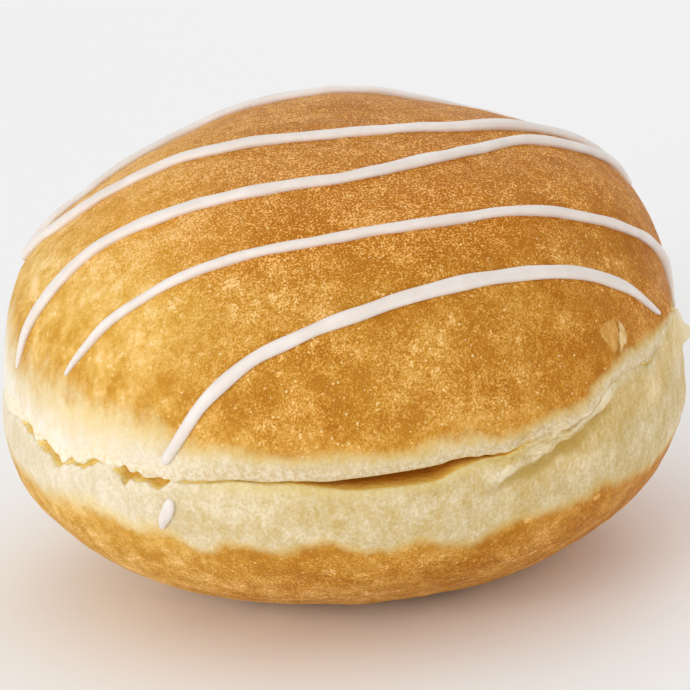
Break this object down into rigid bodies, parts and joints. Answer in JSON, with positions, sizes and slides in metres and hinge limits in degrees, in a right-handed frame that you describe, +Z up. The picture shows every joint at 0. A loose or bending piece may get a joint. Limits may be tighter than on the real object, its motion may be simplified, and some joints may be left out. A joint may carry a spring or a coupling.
{
  "type": "jelly filled doughnut",
  "caption": "Round closed yeast doughnut with a browned dome and base, a split pale waist and thin strands of white icing.",
  "frame": {"origin": "centre of the object's box at its base, where it rests", "axes": "+Z up; -Y is the front of the picture, with the open slit; +X is the picture's right"},
  "size_m": [0.0888, 0.0892, 0.0591],
  "materials": {
    "browned_dough": "fried yeast dough, golden brown and mottled, with a pale cream waist; satin",
    "white_icing": "set sugar icing, off-white, satin"
  },
  "bodies": {
    "root": {"doughnut": "browned_dough"}
  },
  "joints": []
}
